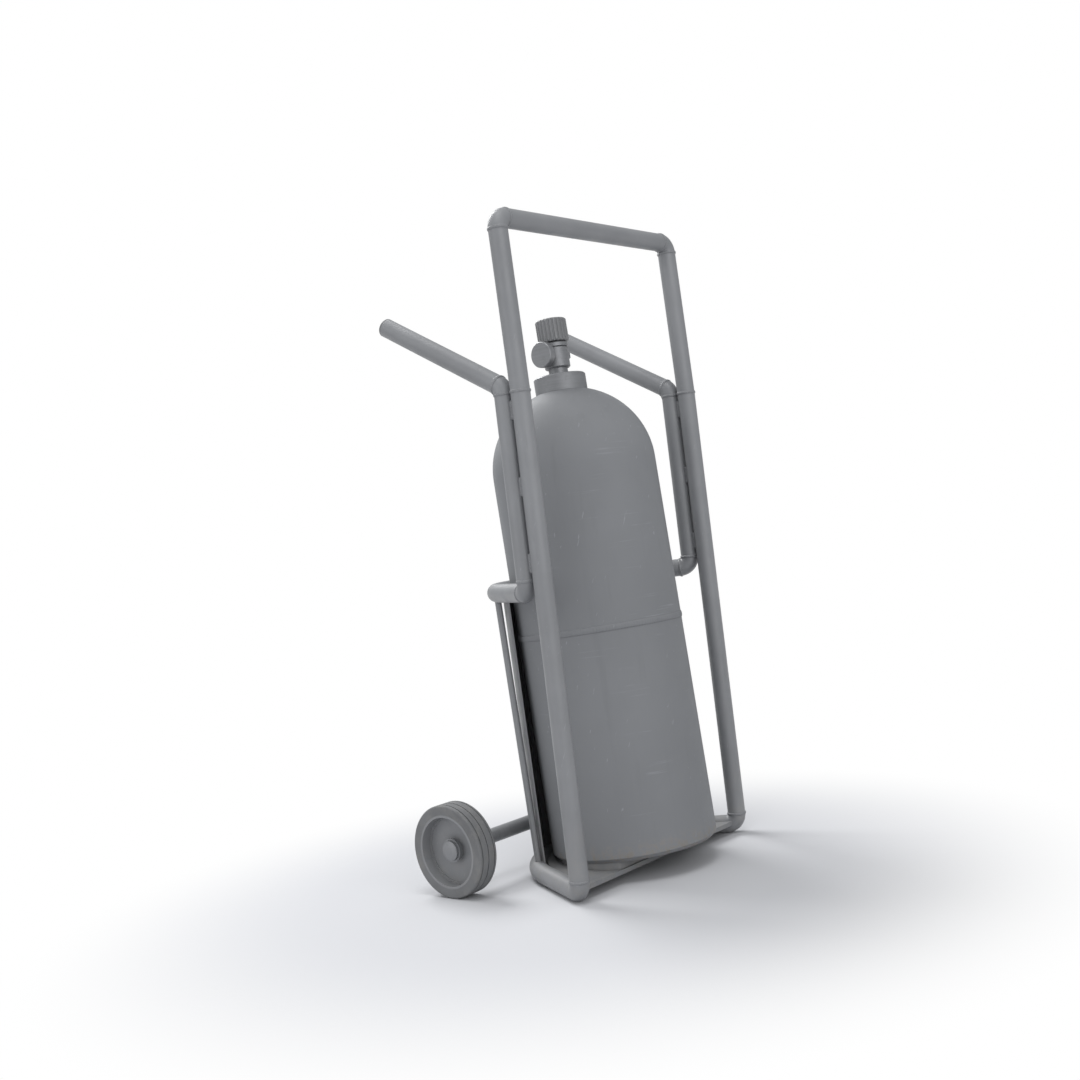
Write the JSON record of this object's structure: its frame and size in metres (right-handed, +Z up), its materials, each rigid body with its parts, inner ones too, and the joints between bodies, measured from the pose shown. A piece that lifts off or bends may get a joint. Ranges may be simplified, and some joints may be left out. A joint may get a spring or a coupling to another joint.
{
  "type": "oxy acetylene torch cart",
  "caption": "Tubular steel hand cart with a crossbar, rear push handles, rear wheels and a hooped cradle, carrying a leaning gas cylinder with a handwheel valve and a capped outlet.",
  "frame": {"origin": "on the floor, midway between the two uprights", "axes": "+X to the right seen from the open front, +Y to the back where the wheels and handles are, +Z up"},
  "size_m": [0.446, 0.3164, 0.8812],
  "materials": {
    "frame_paint": "satin grey paint on steel tube",
    "panel_paint": "satin grey paint on sheet and plate",
    "weld_paint": "grey paint over weld metal",
    "plug_plastic": "moulded plastic",
    "plated_steel": "zinc-plated steel",
    "tyre_rubber": "solid rubber, worn",
    "rim_paint": "grey painted pressed steel",
    "bush_plastic": "nylon",
    "bottle_paint": "semi-gloss grey paint on a steel cylinder",
    "neck_steel": "bare forged steel",
    "filler": "porous mineral mass",
    "valve_plating": "nickel-plated brass, satin",
    "valve_brass": "machined brass",
    "seal_rubber": "sealing rubber",
    "handwheel_alloy": "cast aluminium, dark satin coating",
    "spindle_steel": "turned steel"
  },
  "bodies": {
    "frame": {"upright_left": "frame_paint", "upright_right": "frame_paint", "base_elbow_left": "frame_paint", "base_elbow_right": "frame_paint", "base_hoop": "frame_paint", "base_plate": "panel_paint", "top_elbow_left": "frame_paint", "top_elbow_right": "frame_paint", "top_bar": "frame_paint", "handle_run_left": "frame_paint", "handle_run_right": "frame_paint", "handle_elbow_left": "frame_paint", "handle_elbow_right": "frame_paint", "handle_arm_left": "frame_paint", "handle_arm_right": "frame_paint", "end_plug_left": "plug_plastic", "end_plug_right": "plug_plastic", "handle_stitches": "weld_paint", "hoop_elbow_left": "frame_paint", "hoop_elbow_right": "frame_paint", "upper_hoop": "frame_paint", "strut_left": "frame_paint", "strut_right": "frame_paint", "back_panel": "panel_paint", "seat_wedge": "panel_paint", "axle": "plated_steel", "axle_bracket_left": "frame_paint", "axle_bracket_right": "frame_paint", "axle_washers": "plated_steel", "axle_collars": "plated_steel", "hub_cap_left": "plated_steel", "hub_cap_right": "plated_steel", "weld_beads": "weld_paint"},
    "wheel_left": {"tyre_left": "tyre_rubber", "wheel_rim_left": "rim_paint", "wheel_bush_left": "bush_plastic"},
    "wheel_right": {"tyre_right": "tyre_rubber", "wheel_rim_right": "rim_paint", "wheel_bush_right": "bush_plastic"},
    "bottle": {"lower_shell": "bottle_paint", "upper_shell": "bottle_paint", "girth_weld": "bottle_paint", "neck_boss": "neck_steel", "neck_ring": "neck_steel", "porous_filler": "filler", "valve_body": "valve_plating", "gland_nut": "valve_plating", "gland_packing": "seal_rubber", "fusible_plug": "valve_plating"},
    "handwheel": {"handwheel": "handwheel_alloy", "valve_spindle": "spindle_steel", "handwheel_nut": "spindle_steel"},
    "valve_plug": {"valve_plug": "valve_brass"},
    "cap_seal": {"cap_gasket": "seal_rubber"},
    "outlet_cap": {"outlet_cap": "valve_plating"}
  },
  "joints": [
    {"name": "wheel_left_spin", "type": "hinge", "parent": "frame", "child": "wheel_left", "pos_m": [-0.207, 0.19054, 0.062], "axis": [1, 0, 0], "continuous": true},
    {"name": "wheel_right_spin", "type": "hinge", "parent": "frame", "child": "wheel_right", "pos_m": [0.207, 0.19054, 0.062], "axis": [1, 0, 0], "continuous": true},
    {"name": "bottle_out", "type": "slide", "parent": "frame", "child": "bottle", "axis": [0, -0.9986, 0.053], "range_m": [0, 0.3]},
    {"name": "handwheel_turn", "type": "hinge", "parent": "bottle", "child": "handwheel", "pos_m": [0, 0.0496, 0.02683], "axis": [0, 0.053, 0.9986], "range_deg": [0, 720]},
    {"name": "plug_travel", "type": "slide", "parent": "handwheel", "child": "valve_plug", "axis": [0, 0.053, 0.9986], "range_m": [0, 0.003]},
    {"name": "cap_slide", "type": "slide", "parent": "bottle", "child": "cap_seal", "axis": [-1, 0, 0], "range_m": [0, 0.0054]},
    {"name": "cap_turn", "type": "hinge", "parent": "cap_seal", "child": "outlet_cap", "pos_m": [-0.0245, 0.08598, 0.71186], "axis": [-1, 0, 0], "range_deg": [0, 1080]}
  ],
  "couplings": [
    {"joint": "plug_travel", "follows": "handwheel_turn", "m_per_rad": 0.00023873},
    {"joint": "cap_turn", "follows": "cap_slide", "rad_per_m": 3490.7}
  ]
}
